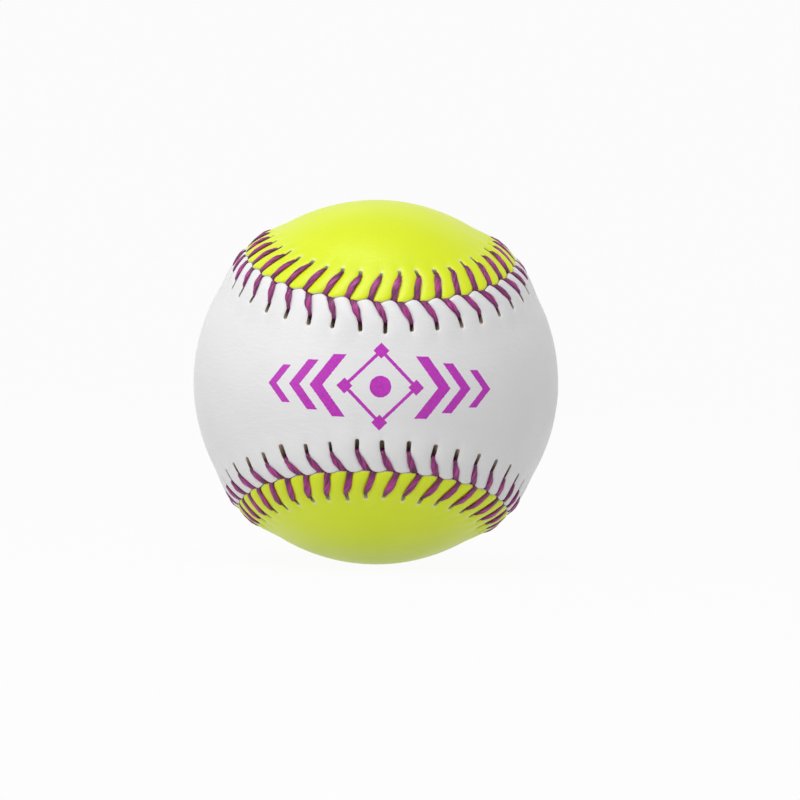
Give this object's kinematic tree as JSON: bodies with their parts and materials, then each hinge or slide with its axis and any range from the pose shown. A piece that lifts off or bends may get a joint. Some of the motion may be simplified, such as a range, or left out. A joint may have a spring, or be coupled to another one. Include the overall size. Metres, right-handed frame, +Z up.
{
  "type": "softball",
  "caption": "Softball with a figure-eight leather cover in white and optic yellow, sewn edge to edge with a raised purple seam over a moulded foam core.",
  "frame": {"origin": "centre of the ball", "axes": "+Z up; -Y out through the middle of the white panel's waist and +Y out through the middle of the yellow panel's waist; the white lobes wrap over -X and +X, the yellow lobes over +Z and -Z"},
  "size_m": [0.0808, 0.0808, 0.0808],
  "materials": {
    "foam": "moulded polyurethane foam with a closed skin",
    "cement": "dried latex cement",
    "white_leather": "fine-grained, satin",
    "yellow_leather": "fine-grained, satin, dyed optic yellow",
    "thread": "waxed, twisted from several plies"
  },
  "bodies": {
    "root": {"core": "foam", "cement_skin": "cement", "white_panel": "white_leather", "yellow_panel": "yellow_leather", "first_thread": "thread", "second_thread": "thread"}
  },
  "joints": []
}
